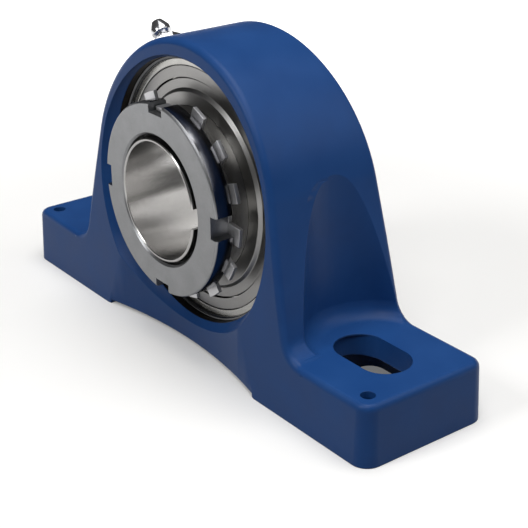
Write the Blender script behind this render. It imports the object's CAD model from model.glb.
"""Pillow block bearing: a painted iron casting round a double-row roller bearing on an adapter sleeve."""
import math

import bmesh
import bpy
from mathutils import Matrix, Vector
from mathutils.bvhtree import BVHTree


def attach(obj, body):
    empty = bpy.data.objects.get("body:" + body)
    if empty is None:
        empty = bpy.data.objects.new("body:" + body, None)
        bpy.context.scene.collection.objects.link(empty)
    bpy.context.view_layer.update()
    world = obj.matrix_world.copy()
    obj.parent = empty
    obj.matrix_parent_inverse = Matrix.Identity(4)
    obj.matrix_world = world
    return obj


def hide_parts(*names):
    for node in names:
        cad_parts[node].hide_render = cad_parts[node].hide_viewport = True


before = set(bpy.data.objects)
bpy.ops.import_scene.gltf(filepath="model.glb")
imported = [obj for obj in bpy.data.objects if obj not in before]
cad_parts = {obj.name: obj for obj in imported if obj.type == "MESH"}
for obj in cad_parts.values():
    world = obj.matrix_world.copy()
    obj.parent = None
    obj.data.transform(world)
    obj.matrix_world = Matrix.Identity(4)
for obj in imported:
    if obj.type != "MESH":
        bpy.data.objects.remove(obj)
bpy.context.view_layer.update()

# Lengths are in millimetres; MM turns them into metres
MM = 0.001
SHAFT_H = 49.2
TURN = 2 * math.pi
# Local frame of the bearing: Z towards the nut, Y upwards
ON_SHAFT = Matrix.Translation((0, 0, SHAFT_H * MM)) @ Matrix.Rotation(math.pi / 2, 4, "X") @ Matrix.Scale(MM, 4)
FLIP = Matrix.Scale(-1, 4, (0, 0, 1))
# Edges that turn by more than this stay sharp
SHARP = math.radians(40)
# Points closer than this are one
WELD = 0.0005
# Radius that stands for a profile's end on its own axis
ON_AXIS = 0.001


# Materials

def linear(code):
    """An sRGB hex colour as linear red, green, blue and alpha."""
    parts = [int(code[i:i + 2], 16) / 255 for i in (1, 3, 5)]
    return [c / 12.92 if c <= 0.04045 else ((c + 0.055) / 1.055) ** 2.4 for c in parts] + [1.0]


def add_node(tree, kind, inputs=None, links=None, **settings):
    """Adds a node with its settings, input values and links from (node, output) pairs."""
    made = tree.nodes.new("ShaderNode" + kind)
    for key, value in settings.items():
        setattr(made, key, value)
    for key, value in (inputs or {}).items():
        made.inputs[key].default_value = value
    for key, (source, output) in (links or {}).items():
        tree.links.new(source.outputs[output], made.inputs[key])
    return made


def new_material(name):
    """An empty node material with its output, and the object coordinates that its patterns read."""
    material = bpy.data.materials.new(name)
    material.use_nodes = True
    tree = material.node_tree
    tree.nodes.clear()
    out = add_node(tree, "OutputMaterial")
    coords = add_node(tree, "TexCoord")
    return material, tree, out, coords


def spread(tree, source, output, from_low, from_high, to_low, to_high, **settings):
    """A value mapped from one range to another."""
    ends = {"From Min": from_low, "From Max": from_high, "To Min": to_low, "To Max": to_high}
    return add_node(tree, "MapRange", ends, {"Value": (source, output)}, **settings)


def ramp(tree, source, output, stops):
    """A colour ramp over a value, from (position, hex colour) pairs."""
    made = add_node(tree, "ValToRGB", links={"Fac": (source, output)})
    for element, (place, colour) in zip(made.color_ramp.elements, stops):
        element.position = place
        element.color = linear(colour)
    return made


# Noise cells to the metre: the sand's grain and the film's swell, the steel's clouds and its specks
GRAIN, SWELL, CLOUD, SPECK = 1400, 90, 160, 4000


def painted_iron():
    """Satin enamel sprayed on a sand casting: a smooth film that rounds the corners, over a faint grain."""
    material, tree, out, coords = new_material("satin_blue_enamel_on_cast_iron")
    corner = add_node(tree, "Bevel", {"Radius": 0.35 * MM}, samples=6)
    grain = add_node(tree, "TexNoise", {"Scale": GRAIN, "Detail": 3, "Roughness": 0.6}, {"Vector": (coords, "Object")})
    swell = add_node(tree, "TexNoise", {"Scale": SWELL, "Detail": 2, "Roughness": 0.5}, {"Vector": (coords, "Object")})
    tone = ramp(tree, swell, "Fac", [(0.3, "#1a4179"), (0.7, "#1e467f")])
    gloss = spread(tree, swell, "Fac", 0.3, 0.7, 0.36, 0.44)
    fine = add_node(tree, "Bump", {"Strength": 0.08, "Distance": 0.12 * MM},
                    {"Height": (grain, "Fac"), "Normal": (corner, "Normal")})
    broad = add_node(tree, "Bump", {"Strength": 0.12, "Distance": 0.6 * MM},
                     {"Height": (swell, "Fac"), "Normal": (fine, "Normal")})
    shade = add_node(tree, "BsdfPrincipled", {"Specular IOR Level": 0.16},
                     {"Base Color": (tone, "Color"), "Roughness": (gloss, "Result"), "Normal": (broad, "Normal")})
    tree.links.new(shade.outputs["BSDF"], out.inputs["Surface"])
    return material


def steel(name, dark, light, rough, bump=0.06, rings=None, along=1.0):
    """Bare metal with a cloudy tone; rings adds fine tool marks that far apart round the shaft's axis.

    A small along draws the grain out into streaks along the shaft.
    """
    material, tree, out, coords = new_material(name)
    centred = add_node(tree, "Mapping", {"Location": (0, 0, -SHAFT_H * MM), "Scale": (1, along, 1)},
                       {"Vector": (coords, "Object")})
    cloud = add_node(tree, "TexNoise", {"Scale": CLOUD, "Detail": 4, "Roughness": 0.65},
                     {"Vector": (centred, "Vector")})
    speck = add_node(tree, "TexNoise", {"Scale": SPECK, "Detail": 2}, {"Vector": (centred, "Vector")})
    height = add_node(tree, "Mix", {"Factor": 0.45}, {"A": (cloud, "Fac"), "B": (speck, "Fac")}, data_type="FLOAT")
    tone = ramp(tree, height, "Result", [(0.36, dark), (0.64, light)])
    gloss = spread(tree, height, "Result", 0.35, 0.65, rough - 0.02, rough + 0.03)
    if rings:
        # the marks run round the axis on a flat face and along it on a round one
        apart = add_node(tree, "SeparateXYZ", links={"Vector": (centred, "Vector")})
        flat = add_node(tree, "CombineXYZ", links={"X": (apart, "X"), "Z": (apart, "Z")})
        away = add_node(tree, "VectorMath", links={0: (flat, "Vector")}, operation="LENGTH")
        path = add_node(tree, "Math", links={0: (away, "Value"), 1: (apart, "Y")}, operation="ADD")
        mark = add_node(tree, "TexNoise", {"Scale": 1 / (rings * MM), "Detail": 1}, {"W": (path, "Value")},
                        noise_dimensions="1D")
        height = add_node(tree, "Mix", {"Factor": 0.7}, {"A": (height, "Result"), "B": (mark, "Fac")},
                          data_type="FLOAT")
    relief = add_node(tree, "Bump", {"Strength": bump, "Distance": 0.1 * MM}, {"Height": (height, "Result")})
    shade = add_node(tree, "BsdfPrincipled", {"Metallic": 1.0},
                     {"Base Color": (tone, "Color"), "Roughness": (gloss, "Result"), "Normal": (relief, "Normal")})
    tree.links.new(shade.outputs["BSDF"], out.inputs["Surface"])
    return material


ENAMEL = painted_iron()
# Brown-black bare iron, oiled, in the shadow of the mouth
MACHINED_IRON = steel("machined_cast_iron", "#2e2a27", "#3f3a36", 0.38, rings=0.1)
# Flat mid-grey faces, and a glossier turned rim that mirrors the paint
NUT_STEEL = steel("phosphated_nut_steel", "#7a7b7d", "#88898b", 0.36)
NUT_RIM = steel("turned_nut_rim", "#77777a", "#87878a", 0.15, bump=0.02)
# Lighter and matt, silvery beside the nut
WASHER_STEEL = steel("pressed_washer_steel", "#b6b6b8", "#c2c2c4", 0.42)
# Warm light grey, and a brighter bore with fine streaks along the shaft
SLEEVE_STEEL = steel("fine_turned_sleeve_steel", "#9c9b9a", "#a8a7a6", 0.2)
BORE_STEEL = steel("honed_bore_steel", "#dddcdb", "#e4e3e2", 0.2, bump=0.03, along=0.03)
# Warm grey with the finest of grinding marks round the shaft
RING_STEEL = steel("ground_ring_steel", "#9b9a97", "#a9a8a5", 0.24, rings=0.08)
# Smooth satin grey with faint rings round the shaft
SEAL_STEEL = steel("pressed_seal_steel", "#868584", "#8d8c8b", 0.33, rings=0.3)
# Dark wire with a tight highlight along it
WIRE_STEEL = steel("drawn_spring_wire", "#4a4a4c", "#57585a", 0.22)
# Pale bright plating, slightly bluish
NIPPLE_STEEL = steel("zinc_plated_nipple_steel", "#b4b5b8", "#c4c5c8", 0.2)
# Inside the bearing: near-mirror rollers, satin cages and a dull porous guide ring
ROLLER_STEEL = steel("polished_roller_steel", "#b5b4b2", "#c4c3c1", 0.12)
CAGE_STEEL = steel("pressed_cage_steel", "#6f6e6c", "#8a8987", 0.4)
SINTER_IRON = steel("sintered_guide_iron", "#5c5a57", "#767470", 0.5)

# The CAD's nodes; every roller has ROLLER_STEEL
NODE_FINISH = {
    "housing": ENAMEL, "outer_ring": RING_STEEL, "inner_ring": RING_STEEL, "guide_ring": SINTER_IRON,
    "front_cage": CAGE_STEEL, "rear_cage": CAGE_STEEL, "front_cover": SEAL_STEEL, "rear_cover": SEAL_STEEL,
    "front_flinger": SEAL_STEEL, "rear_flinger": SEAL_STEEL, "front_snap_ring": WIRE_STEEL,
    "rear_snap_ring": WIRE_STEEL, "adapter_sleeve": SLEEVE_STEEL, "lock_washer": WASHER_STEEL,
    "lock_nut": NUT_STEEL, "grease_nipple": NIPPLE_STEEL, "nipple_ball": ROLLER_STEEL, "nipple_spring": WIRE_STEEL,
}
for name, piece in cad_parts.items():
    piece.data.materials.clear()
    piece.data.materials.append(NODE_FINISH.get(name, ROLLER_STEEL))


# Mesh helpers

def at(radius, degrees):
    """A point at that radius and angle about the axis."""
    return radius * math.cos(math.radians(degrees)), radius * math.sin(math.radians(degrees))


def soften(bm, angle):
    """Smooth faces with sharp edges where the surface turns by more than the angle."""
    for face in bm.faces:
        face.smooth = True
    for edge in bm.edges:
        if len(edge.link_faces) != 2 or edge.calc_face_angle(0) > angle:
            edge.smooth = False


def weld(bm, dist):
    """Makes points closer than the distance one."""
    bmesh.ops.remove_doubles(bm, verts=bm.verts, dist=dist)


def face_outwards(bm):
    """Turns every face of a closed shell to the outside."""
    bmesh.ops.recalc_face_normals(bm, faces=bm.faces)


def finish_piece(bm, name, material, body, replaced=(), place=ON_SHAFT, merge=WELD, sharp=SHARP):
    """Turns a bmesh in millimetres into a riding piece with its place in its mesh."""
    weld(bm, merge)
    bmesh.ops.transform(bm, matrix=place, verts=bm.verts)
    face_outwards(bm)
    soften(bm, sharp)
    piece = loose_object(bm, name)
    piece.data.materials.append(material)
    even_shade(piece)
    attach(piece, body)
    if replaced:
        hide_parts(*replaced)
    return piece


def even_shade(piece):
    """Keeps large flats flat where they meet rounded edges."""
    even = piece.modifiers.new("even_shade", "WEIGHTED_NORMAL")
    even.mode = "FACE_AREA"
    even.weight = 100
    even.keep_sharp = True


def loose_object(bm, name):
    """A new object that takes over the bmesh."""
    mesh = bpy.data.meshes.new(name)
    bm.to_mesh(mesh)
    bm.free()
    made = bpy.data.objects.new(name, mesh)
    bpy.context.scene.collection.objects.link(made)
    return made


def place_key(point):
    """One number for a place, so that what the Boolean leaves always has the same order."""
    x, y, z = (round(c * 1000) for c in point)
    return (x * 3e5 + y) * 3e5 + z


def carve(bm, cutters, fills=()):
    """The bmesh joined with each of fills and then cut by each of cutters, which are bmeshes too."""
    blank = loose_object(bm, "blank")
    for operation, tools in (("UNION", fills), ("DIFFERENCE", cutters)):
        for tool in tools:
            cut = blank.modifiers.new("cut", "BOOLEAN")
            cut.operation = operation
            cut.solver = "EXACT"
            cut.object = loose_object(tool, "tool")
    shape = bpy.data.meshes.new_from_object(blank.evaluated_get(bpy.context.evaluated_depsgraph_get()))
    for spent in [cut.object for cut in blank.modifiers] + [blank]:
        bpy.data.objects.remove(spent)
    done = bmesh.new()
    done.from_mesh(shape)
    bpy.data.meshes.remove(shape)
    return done


# The Boolean's last digits vary from run to run, so its points are put on a fine grid
GRID_DIGITS = 4
BOOLEAN_WELD = 0.001
# Strips left where a fill lies a hair below the surface, well above the feet
SLIVER, SLIVERS_FROM = 0.006, 20
SAME_PLANE = math.radians(0.4)


def carved(bm, cutters, fills=()):
    """The carved bmesh in a settled order, with its flats made whole."""
    done = carve(bm, cutters, fills)
    for vert in done.verts:
        vert.co = [round(c, GRID_DIGITS) for c in vert.co]
    weld(done, BOOLEAN_WELD)
    done.verts.sort(key=lambda vert: place_key(vert.co))
    done.edges.sort(key=lambda edge: place_key((edge.verts[0].co + edge.verts[1].co) / 2))
    done.faces.sort(key=lambda face: place_key(face.calc_center_median()))
    if fills:
        seams = [edge for edge in done.edges if min(v.co.z for v in edge.verts) > SLIVERS_FROM]
        bmesh.ops.dissolve_degenerate(done, dist=SLIVER, edges=seams)
    bmesh.ops.dissolve_limit(done, angle_limit=SAME_PLANE, use_dissolve_boundaries=False, verts=done.verts,
                             edges=done.edges, delimit=set())
    return done


def bevel(bm, edges, width, segments=2):
    """Rounds the edges to that width."""
    bmesh.ops.bevel(bm, geom=edges, offset=width, offset_type="OFFSET", segments=segments, profile=0.5,
                    affect="EDGES", clamp_overlap=True, material=-1)


def ease_edges(bm, width, pick=None):
    """Rounds every edge that turns sharply, or those of them that pick chooses."""
    bevel(bm, [e for e in bm.edges if len(e.link_faces) == 2 and e.calc_face_angle(0) > SHARP
               and (pick is None or pick(e))], width)


def edge_ring(bm, verts):
    """Edges that join the points into a closed loop."""
    return [bm.edges.new((vert, verts[(i + 1) % len(verts)])) for i, vert in enumerate(verts)]


def extrude_all(bm, move):
    """Gives the faces a thickness along a vector."""
    made = bmesh.ops.extrude_face_region(bm, geom=bm.faces[:])
    bmesh.ops.translate(bm, verts=[v for v in made["geom"] if isinstance(v, bmesh.types.BMVert)], vec=move)


def lathe(profile, steps=144, ease=0.0):
    """A closed profile of (radius, height) points, turned full circle about local Z."""
    bm = bmesh.new()
    ring = [bm.verts.new((r, 0, z)) for r, z in profile]
    edges = edge_ring(bm, ring)
    bmesh.ops.spin(bm, geom=ring + edges, cent=(0, 0, 0), axis=(0, 0, 1), angle=TURN, steps=steps, use_merge=True,
                   use_duplicate=False)
    weld(bm, WELD)
    face_outwards(bm)
    if ease:
        ease_edges(bm, ease)
    return bm


def solid_lathe(profile, steps, place):
    """A lathed solid whose profile starts and ends on the axis, moved to its place."""
    bm = lathe(profile, steps)
    weld(bm, 10 * ON_AXIS)
    face_outwards(bm)
    bmesh.ops.translate(bm, verts=bm.verts, vec=place)
    return bm


# The casting
SLOT_X, SLOT_R, SLOT_HALF, SLOT_FROM, SLOT_DEPTH = 64.8, 7.7, 4.8, 5.5, 14
HOLLOW_IN, HOLLOW_OUT, HOLLOW_Y, HOLLOW_H = 44.4, 83.7, 18.45, 11.1
HOLLOW_CORNER, HOLLOW_ROOF_EASE, HOLLOW_UNDER = 5, 1.5, 2
POCKET_X, POCKET_Y, POCKET_R, POCKET_BLEND, POCKET_TOP = 63.8, 2.8, 20.5, 5.0, 85
FOOT_TOP = 18.02
DOWEL_X, DOWEL_Y, DOWEL_R, DOWEL_END, DOWEL_TOP = 81, -15.95, 2.05, 13.0, 20
# Heights at which the flank is measured: inside the foot, closer together in its blend, then evenly up the arch
FLANK_START = FOOT_TOP + 0.01
FLANK_LEVELS = [FOOT_TOP - 0.5] + [FLANK_START + 0.035 * k * k for k in range(1, 16)] + \
    [26 + 0.75 * k for k in range(1, 60)]
# Where along Y the flank is free of the CAD's pocket: near the foot and further up
FREE_LOW, FREE_HIGH, FREE_CHANGE = -19.3, -17.5, 24
# The fill's inner end, its depth below the flank, how far it passes the pocket and its widest half
FILL_IN, FILL_UNDER, FILL_PAST, FILL_WIDEST = 42.5, 0.004, 0.4, 19.4
# The flag of the shading modifier for faces that rule their neighbours, and the area above which they do
STRONG, STRONG_AREA = 16384, 35
CASTING_SHARP = math.radians(26)


def pocket_fill(tree, side):
    """The flank's own form over a pocket, a hair below its surface, so that the pocket can be cut anew."""
    bm = bmesh.new()
    for z in FLANK_LEVELS:
        start = Vector((side * 100, FREE_LOW if z < FREE_CHANGE else FREE_HIGH, max(z, FLANK_START)))
        x = abs(tree.ray_cast(start, Vector((-side, 0, 0)))[0].x) - FILL_UNDER
        if x < POCKET_X - POCKET_R + 0.02:
            break
        half = min(math.sqrt(POCKET_R ** 2 - (POCKET_X - x) ** 2) + FILL_PAST, FILL_WIDEST)
        edge_ring(bm, [bm.verts.new((side * px, py, z))
                       for px, py in ((FILL_IN, -half), (x, -half), (x, half), (FILL_IN, half))])
    bmesh.ops.bridge_loops(bm, edges=bm.edges[:])
    bmesh.ops.holes_fill(bm, edges=bm.edges[:], sides=4)
    face_outwards(bm)
    return bm


def slot_cutter(side):
    """A bolt slot with round ends."""
    bm = bmesh.new()
    rim = bmesh.ops.create_circle(bm, segments=64, radius=SLOT_R, cap_ends=True)["verts"]
    bmesh.ops.rotate(bm, verts=rim, matrix=Matrix.Rotation(TURN / 128, 3, "Z"))
    for vert in rim:
        vert.co.x += math.copysign(SLOT_HALF, vert.co.x)
    extrude_all(bm, (0, 0, SLOT_DEPTH))
    bmesh.ops.translate(bm, verts=bm.verts, vec=(side * SLOT_X, 0, SLOT_FROM))
    face_outwards(bm)
    return bm


def hollow_cutter(side):
    """The moulded hollow under a foot, with round corners and an eased roof."""
    bm = bmesh.new()
    size = (HOLLOW_OUT - HOLLOW_IN, 2 * HOLLOW_Y, HOLLOW_H + HOLLOW_UNDER)
    place = Matrix.Translation((side * (HOLLOW_IN + HOLLOW_OUT) / 2, 0, HOLLOW_H - size[2] / 2))
    bmesh.ops.create_cube(bm, size=1.0, matrix=place @ Matrix.Diagonal((*size, 1)))
    bevel(bm, [e for e in bm.edges if abs(e.verts[0].co.z - e.verts[1].co.z) > 1], HOLLOW_CORNER, 8)
    bevel(bm, [e for e in bm.edges if all(v.co.z > HOLLOW_H - 0.01 for v in e.verts)], HOLLOW_ROOF_EASE, 3)
    return bm


def foot_cutters(side):
    """The pocket over one foot, its bolt slot, the moulded hollow under it and its dowel mark."""
    corner = [(POCKET_R - POCKET_BLEND + POCKET_BLEND * math.sin(math.radians(a)),
               FOOT_TOP + POCKET_BLEND - POCKET_BLEND * math.cos(math.radians(a))) for a in range(0, 91, 9)]
    pocket = solid_lathe([(ON_AXIS, FOOT_TOP)] + corner + [(POCKET_R, POCKET_TOP), (ON_AXIS, POCKET_TOP)], 180,
                         (side * POCKET_X, POCKET_Y, 0))
    dowel = solid_lathe([(ON_AXIS, DOWEL_END), (DOWEL_R, DOWEL_END), (DOWEL_R, DOWEL_TOP), (ON_AXIS, DOWEL_TOP)], 48,
                        (side * DOWEL_X, DOWEL_Y, 0))
    return [pocket, slot_cutter(side), hollow_cutter(side), dowel]


def keep_rims(bm):
    """Keeps the pockets' rims crisp where they run out into the flanks at a shallow angle."""
    def on_wall(face):
        return all(v.co.z > FOOT_TOP + POCKET_BLEND - 0.3 and
                   abs(math.hypot(abs(v.co.x) - POCKET_X, v.co.y - POCKET_Y) - POCKET_R) < 0.03 for v in face.verts)

    walls = {face for face in bm.faces if on_wall(face)}
    for edge in bm.edges:
        edge.smooth = not (sum(face in walls for face in edge.link_faces) == 1
                           and sum(v.co.z for v in edge.verts) / 2 > FOOT_TOP + POCKET_BLEND)


def weigh_flats(bm):
    """Lets large faces rule the shading where they meet smaller ones."""
    layer = bm.faces.layers.int.new("__mod_weightednormals_faceweight")
    for face in bm.faces:
        face[layer] = STRONG if face.calc_area() > STRONG_AREA else 0


def cast_housing():
    """The CAD housing with its pockets, slots, hollows and dowel marks cut anew."""
    bm = bmesh.new()
    bm.from_mesh(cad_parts["housing"].data)
    bmesh.ops.scale(bm, verts=bm.verts, vec=(1 / MM, 1 / MM, 1 / MM))
    weld(bm, BOOLEAN_WELD)
    tree = BVHTree.FromBMesh(bm)
    bm = carved(bm, foot_cutters(-1) + foot_cutters(1), [pocket_fill(tree, -1), pocket_fill(tree, 1)])
    keep_rims(bm)
    weigh_flats(bm)
    piece = finish_piece(bm, "cast_housing", ENAMEL, "housing_body", ["housing"], Matrix.Scale(MM, 4),
                         merge=0.000001, sharp=CASTING_SHARP)
    piece.modifiers["even_shade"].mode = "CORNER_ANGLE"
    piece.modifiers["even_shade"].use_face_influence = True


cast_housing()

ENDS = (("front", Matrix.Identity(4)), ("rear", FLIP))
# Machined mouths of the bearing seat, bare iron inside the painted flare
for end, flip in ENDS:
    finish_piece(lathe([(39.98, 12.6), (39.98, 15.35), (40.45, 15.95), (41.1, 16.05), (41.1, 12.6)]),
                 end + "_machined_mouth", MACHINED_IRON, "housing_body", place=ON_SHAFT @ flip)


# Bearing rings and seals
def mirrored(half):
    """The points of half a profile on the other side of the bearing's middle, in the order that closes it."""
    return [(r, -z) for r, z in reversed(half)]


# The spherical raceway has its centre on the axis; the inner ones are arcs of RACE_ARC about their own centres
SPHERE_R, RACE_ARC, RACE_ARC_R, RACE_ARC_Z = 35.9, 36.3, 61.61, 10.863
outer = [(math.sqrt(SPHERE_R ** 2 - z * z), z) for z in (2, 4, 6, 8, 9.5, 10.8)]
outer += [(36.95, 10.8), (36.95, 11.8), (37.15, 12.0), (38.9, 12.0), (40.0, 10.9), (40.0, 2.5), (39.2, 1.7)]
finish_piece(lathe([(SPHERE_R, 0)] + outer + mirrored(outer), ease=0.1),
             "ground_outer_ring", RING_STEEL, "housing_body", ["outer_ring"])

inner = [(26.7, 0.92)]
inner += [(RACE_ARC_R - math.sqrt(RACE_ARC ** 2 - (z - RACE_ARC_Z) ** 2), z) for z in (1.8, 3, 4.5, 6, 7.4, 8.75)]
inner += [(26.4, 8.75), (26.4, 10.2), (25.3, 10.2), (25.3, 18.25), (24.8, 18.75)]
finish_piece(lathe(inner + [(20.05, 18.75), (21.61, -18.75)] + mirrored(inner), ease=0.1),
             "ground_inner_ring", RING_STEEL, "rotor", ["inner_ring"])

WIRE_R, WIRE_RING_R, WIRE_Z, WIRE_GAP_HALF = 0.9, 39.75, 12.452, 5


def wire_ring():
    """Round wire, cut open at the right-hand side."""
    bm = bmesh.new()
    wire = bmesh.ops.create_circle(bm, segments=20, radius=WIRE_R, cap_ends=True)["verts"]
    bmesh.ops.rotate(bm, verts=wire, matrix=Matrix.Rotation(math.pi / 2, 3, "X"))
    bmesh.ops.translate(bm, verts=wire, vec=(WIRE_RING_R, 0, WIRE_Z))
    open_half = math.asin(WIRE_GAP_HALF / WIRE_RING_R)
    bmesh.ops.rotate(bm, verts=wire, matrix=Matrix.Rotation(open_half, 3, "Z"))
    bmesh.ops.spin(bm, geom=bm.verts[:] + bm.edges[:] + bm.faces[:], cent=(0, 0, 0), axis=(0, 0, 1),
                   angle=TURN - 2 * open_half, steps=140, use_merge=False, use_duplicate=False)
    return bm


for end, flip in ENDS:
    finish_piece(lathe([(33.7, 10.8), (36.8, 10.8), (36.8, 11.7), (33.4, 11.7)], ease=0.12),
                 end + "_seal_cover", SEAL_STEEL, "housing_body", [end + "_cover"], ON_SHAFT @ flip)
    finish_piece(lathe([(25.33, 10.2), (26.33, 10.2), (26.33, 11.4), (28.83, 11.4), (29.73, 10.4), (33.35, 10.4),
                        (33.1, 11.2), (30.23, 11.2), (29.33, 12.2), (25.33, 12.6)], ease=0.18),
                 end + "_stepped_flinger", SEAL_STEEL, "rotor", [end + "_flinger"], ON_SHAFT @ flip)
    finish_piece(wire_ring(), end + "_wire_ring", WIRE_STEEL, "housing_body", [end + "_snap_ring"],
                 ON_SHAFT @ flip)


# Sleeve with its slit and thread
BORE_R, SLIT_HALF, SLIT_MID_R = 17.5, 3.0, 18.6
THREAD_FROM, THREAD_TO, PITCH, CREST_R, ROOT_R = 19.6, 23, 1.5, 19.4, 18.75


def turned_sleeve():
    """The tapered sleeve from its collar to its threaded end, open along the slit."""
    shape = [(BORE_R, -21.2), (17.8, -21.55), (21.2, -21.55), (21.69, -21.05), (20.04, 18.75), (19.3, 19.4)]
    z = THREAD_FROM
    while z < THREAD_TO:
        shape += [(CREST_R, z), (CREST_R, z + 0.25), (ROOT_R, z + 0.75), (ROOT_R, z + 0.95)]
        z += PITCH
    shape += [(18.4, 24.0), (18.4, 26.45), (18.15, 26.7), (17.7, 26.7), (BORE_R, 26.5)]
    bm = bmesh.new()
    # every point of the profile is turned to the same angle, so the slit's walls are set parallel afterwards
    lean = math.asin(SLIT_HALF / SLIT_MID_R)
    bm.faces.new([bm.verts.new((r * math.cos(lean), r * math.sin(lean), z)) for r, z in shape])
    bmesh.ops.spin(bm, geom=bm.verts[:] + bm.edges[:] + bm.faces[:], cent=(0, 0, 0), axis=(0, 0, 1),
                   angle=TURN - 2 * lean, steps=144, use_merge=False, use_duplicate=False)
    for vert in bm.verts:
        if abs(abs(math.atan2(vert.co.y, vert.co.x)) - lean) < 0.002:
            vert.co.x = math.sqrt(vert.co.xy.length_squared - SLIT_HALF ** 2)
            vert.co.y = math.copysign(SLIT_HALF, vert.co.y)
    for face in bm.faces:
        if all(v.co.xy.length < BORE_R + 0.02 for v in face.verts):
            face.material_index = 1
    sleeve = finish_piece(bm, "turned_adapter_sleeve", SLEEVE_STEEL, "rotor", ["adapter_sleeve"])
    sleeve.data.materials.append(BORE_STEEL)


turned_sleeve()


# Nut and washer
NUT_R, NOTCH_HALF, NOTCH_DEPTH, NOTCH_EASE = 29.0, 3.3, 3, 0.13


def slotted_nut():
    """The round nut with four notches; its rim has its own finish."""
    section = [(19.5, 20.6), (20.1, 20.0), (28.4, 20.0), (NUT_R, 20.6), (NUT_R, 25.45), (28.75, 25.85), (28.25, 26.2),
               (20.1, 26.2), (19.5, 25.6)]
    cutters = []
    for k in range(4):
        notch = bmesh.new()
        bmesh.ops.create_cube(notch, size=1.0, matrix=Matrix.Rotation(k * TURN / 4, 4, "Z")
                              @ Matrix.Translation((NUT_R, 0, 23))
                              @ Matrix.Diagonal((2 * NOTCH_DEPTH, 2 * NOTCH_HALF, 10, 1)))
        cutters.append(notch)
    bm = carved(lathe(section, steps=128), cutters)

    def on_notch(edge):
        return all(min(abs(v.co.x), abs(v.co.y)) < NOTCH_HALF + 0.02 and v.co.xy.length > NUT_R - NOTCH_DEPTH - 0.2
                   for v in edge.verts)

    ease_edges(bm, NOTCH_EASE, on_notch)
    for face in bm.faces:
        if abs(face.normal.z) < 0.2 and face.calc_center_median().xy.length > NUT_R - 0.2:
            face.material_index = 1
    nut = finish_piece(bm, "slotted_lock_nut", NUT_STEEL, "rotor", ["lock_nut"])
    nut.data.materials.append(NUT_RIM)


slotted_nut()

WASHER_LOW, WASHER_HIGH, WASHER_R, WASHER_OPENING = 18.75, 20.0, 26, 20.3
TABS, TAB_HALF, TAB_TIP, BENT_TAB_ROOT, TAB_EASE = 15, 2.8, 31.2, 26.4, 0.14
BEND_R, BEND_Z, BEND_IN, BEND_OUT = 25.95, 20.3, 0.3, 1.55
TONGUE_EASE = 0.2


def turned(points, degrees):
    """2D points turned about the shaft's axis."""
    c, s = at(1, degrees)
    return [(x * c - y * s, x * s + y * c) for x, y in points]


def washer_plate():
    """The flat washer with its ring of tabs; the top one ends where its bend begins."""
    step = 360 / TABS
    root = math.degrees(math.asin(TAB_HALF / WASHER_R))
    base = math.sqrt(WASHER_R ** 2 - TAB_HALF ** 2)
    outline, opening = [], []
    for k in range(TABS):
        tip = TAB_TIP if k else BENT_TAB_ROOT
        corner = math.sqrt(tip ** 2 - TAB_HALF ** 2)
        angle = 90 + step * k
        outline += turned([(base, -TAB_HALF), (corner, -TAB_HALF), (tip, 0), (corner, TAB_HALF), (base, TAB_HALF)],
                          angle)
        outline += [at(WASHER_R, angle + root + (step - 2 * root) * i / 4) for i in range(1, 4)]
        opening += [at(WASHER_OPENING, angle - root + step * i / 8) for i in range(8)]
    bm = bmesh.new()
    for loop in (outline, opening):
        edge_ring(bm, [bm.verts.new((x, y, WASHER_LOW)) for x, y in loop])
    bmesh.ops.bridge_loops(bm, edges=bm.edges[:])
    extrude_all(bm, (0, 0, WASHER_HIGH - WASHER_LOW))
    return bm


def bent_tab():
    """The tab that is bent up into the nut's top notch."""
    def arc(radius, angles):
        return [(BEND_R + radius * math.sin(math.radians(a)), BEND_Z - radius * math.cos(math.radians(a)))
                for a in angles]

    side = [(25.4, WASHER_LOW)] + arc(BEND_OUT, range(0, 91, 15)) + [(27.5, 23.95), (26.25, 23.95)]
    side += arc(BEND_IN, range(90, -1, -15)) + [(25.4, WASHER_HIGH)]
    bm = bmesh.new()
    bm.faces.new([bm.verts.new((-TAB_HALF, r, z)) for r, z in side])
    extrude_all(bm, (2 * TAB_HALF, 0, 0))
    return bm


def tongue():
    """The washer's inner tongue, in the sleeve's slit."""
    bm = bmesh.new()
    bmesh.ops.create_cube(bm, size=1.0)
    bmesh.ops.transform(bm, matrix=Matrix.Translation((19.5, 0, (WASHER_LOW + WASHER_HIGH) / 2))
                        @ Matrix.Diagonal((2.4, 5.3, WASHER_HIGH - WASHER_LOW, 1)), verts=bm.verts)
    return bm


for made, name, ease, replaced in ((washer_plate(), "tabbed_lock_washer", TAB_EASE, ["lock_washer"]),
                                   (bent_tab(), "bent_washer_tab", TAB_EASE, ()),
                                   (tongue(), "washer_tongue", TONGUE_EASE, ())):
    face_outwards(made)
    ease_edges(made, ease)
    finish_piece(made, name, WASHER_STEEL, "rotor", replaced)


# Grease nipple on the shoulder of the arch
NIPPLE_ANGLE, NIPPLE_FOOT, HEXAGON_R, HEXAGON_H, HEXAGON_EASE = 133, 45.5, 5.196, 4.0, 0.3


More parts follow.
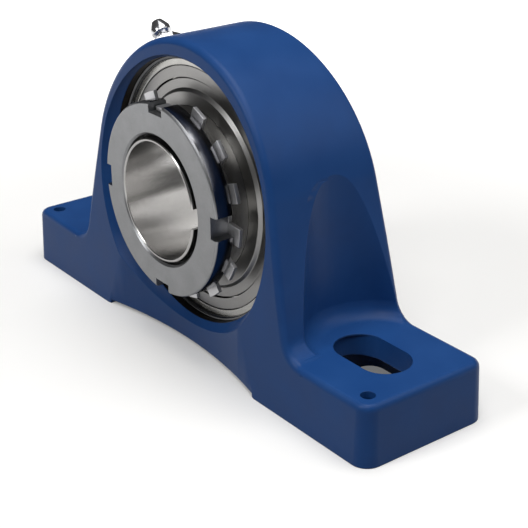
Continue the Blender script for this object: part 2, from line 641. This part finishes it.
def nipple():
    """The nipple with its hexagon, hollow above the check ball's seat."""
    place = ON_SHAFT @ Matrix.Rotation(math.radians(NIPPLE_ANGLE), 4, "Z") @ Matrix.Rotation(math.pi / 2, 4, "Y")
    place = place @ Matrix.Translation((0, 0, NIPPLE_FOOT))
    bm = lathe([(1.0, 10.2), (1.2, 10.5), (1.7, 10.5), (3.2, 7.9), (3.2, 6.4), (2.3, 5.4), (2.3, 4.0), (3.0, 3.8),
                (3.0, -4.3), (0.9, -4.3), (0.9, 0.0), (1.5, 0.0), (1.5, 8.1), (1.0, 8.1)], steps=48, ease=0.15)
    hexagon = bmesh.ops.create_cone(bm, cap_ends=True, segments=6, radius1=HEXAGON_R, radius2=HEXAGON_R,
                                    depth=HEXAGON_H)["verts"]
    bmesh.ops.translate(bm, verts=hexagon, vec=(0, 0, HEXAGON_H / 2 + 0.05))
    bevel(bm, list({e for v in hexagon for e in v.link_edges}), HEXAGON_EASE)
    finish_piece(bm, "hexagon_grease_nipple", NIPPLE_STEEL, "housing_body", ["grease_nipple"], place)


nipple()


# Camera at the photograph's angle
BACK_AZ, BACK_EL, ROLL = math.radians(52.97), math.radians(24.64), math.radians(-0.51)
CAMERA_AT = (299.8, -214.3, 190.5)
SENSOR, FOCAL_PX, FRAME_PX = 36, 1311.9, 528
back = Vector((math.sin(BACK_AZ) * math.cos(BACK_EL), -math.cos(BACK_AZ) * math.cos(BACK_EL), math.sin(BACK_EL)))
right = (-back).cross(Vector((0, 0, 1))).normalized()
upward = right.cross(-back)
side = math.cos(ROLL) * right + math.sin(ROLL) * upward
top = math.cos(ROLL) * upward - math.sin(ROLL) * right
camera = bpy.data.objects.new("camera", bpy.data.cameras.new("camera"))
camera.data.sensor_width = SENSOR
camera.data.lens = FOCAL_PX / FRAME_PX * SENSOR
camera.data.clip_end = 20
camera.matrix_world = Matrix.Translation(Vector(CAMERA_AT) * MM) @ Matrix((side, top, back)).transposed().to_4x4()
bpy.context.scene.collection.objects.link(camera)
bpy.context.scene.camera = camera


# Floor and light, in metres
FLOOR_HALF, FLOOR_DROP = 3.0, 0.0001
# The floor's own glow beside the object, where the shadow lies, and far from it, with the distances between
GLOW_NEAR, GLOW_FAR, NEAR, FAR = 0.15, 1.0, 0.12, 0.42
# A darker floor for the light that it throws back on the object than for what is seen of it
FLOOR_SEEN, FLOOR_BOUNCE = "#e7e6e4", "#5a5958"
AIR_LEVEL = 0.09
LAMP_AIM = 0.04


def pale_floor():
    """A pale matt sweep that shows white away from the shadow."""
    material, tree, out, coords = new_material("pale_matt_floor")
    path = add_node(tree, "LightPath")
    seen = add_node(tree, "Math", links={0: (path, "Is Camera Ray"), 1: (path, "Is Glossy Ray")},
                    operation="MAXIMUM")
    seen = add_node(tree, "Math", links={0: (seen, "Value"), 1: (path, "Is Transmission Ray")}, operation="MAXIMUM")
    away = add_node(tree, "VectorMath", links={0: (coords, "Object")}, operation="LENGTH")
    sweep = spread(tree, away, "Value", NEAR, FAR, GLOW_NEAR, GLOW_FAR, interpolation_type="SMOOTHSTEP")
    level = add_node(tree, "Math", links={0: (seen, "Value"), 1: (sweep, "Result")}, operation="MULTIPLY")
    glow = add_node(tree, "Emission", {"Color": (1, 1, 1, 1)}, {"Strength": (level, "Value")})
    # sockets 6, 7 and 2 are the Mix node's two colours and its colour result
    tone = add_node(tree, "Mix", links={"Factor": (seen, "Value")}, data_type="RGBA")
    tone.inputs[6].default_value = linear(FLOOR_BOUNCE)
    tone.inputs[7].default_value = linear(FLOOR_SEEN)
    matt = add_node(tree, "BsdfDiffuse", links={"Color": (tone, 2)})
    both = add_node(tree, "AddShader", links={0: (matt, "BSDF"), 1: (glow, "Emission")})
    tree.links.new(both.outputs[0], out.inputs["Surface"])
    return material


bm = bmesh.new()
bmesh.ops.create_grid(bm, x_segments=8, y_segments=8, size=FLOOR_HALF)
bmesh.ops.translate(bm, verts=bm.verts, vec=(0, 0, -FLOOR_DROP))
floor = loose_object(bm, "floor")
floor.data.materials.append(pale_floor())

world = bpy.data.worlds.new("studio")
world.use_nodes = True
tree = world.node_tree
tree.nodes.clear()
air = add_node(tree, "Background", {"Color": (1, 1, 1, 1), "Strength": AIR_LEVEL})
out = add_node(tree, "OutputWorld")
tree.links.new(air.outputs["Background"], out.inputs["Surface"])
bpy.context.scene.world = world


def softbox(name, direction, away, size, level):
    """A square soft lamp whose light alone renders a white sheet that faces it at the level."""
    light = bpy.data.lights.new(name, "AREA")
    light.shape = "SQUARE"
    light.size = size
    light.energy = math.pi ** 2 * away * away * level
    lamp = bpy.data.objects.new(name, light)
    towards = Vector(direction).normalized()
    lamp.matrix_world = Matrix.Translation(towards * away + Vector((0, 0, LAMP_AIM))) @ \
        (-towards).to_track_quat("-Z", "Y").to_matrix().to_4x4()
    bpy.context.scene.collection.objects.link(lamp)


softbox("top_softbox", (0.06, 0.05, 1), 1.1, 0.8, 0.7)
softbox("front_softbox", (-0.1, -0.8, 0.6), 1.1, 0.3, 0.3)
softbox("rear_softbox", (0.6, 0.5, 0.62), 1.1, 0.7, 0.2)
softbox("near_softbox", (0.4, -0.45, 0.8), 1.2, 0.5, 0.24)

bpy.context.scene.view_settings.view_transform = "Standard"
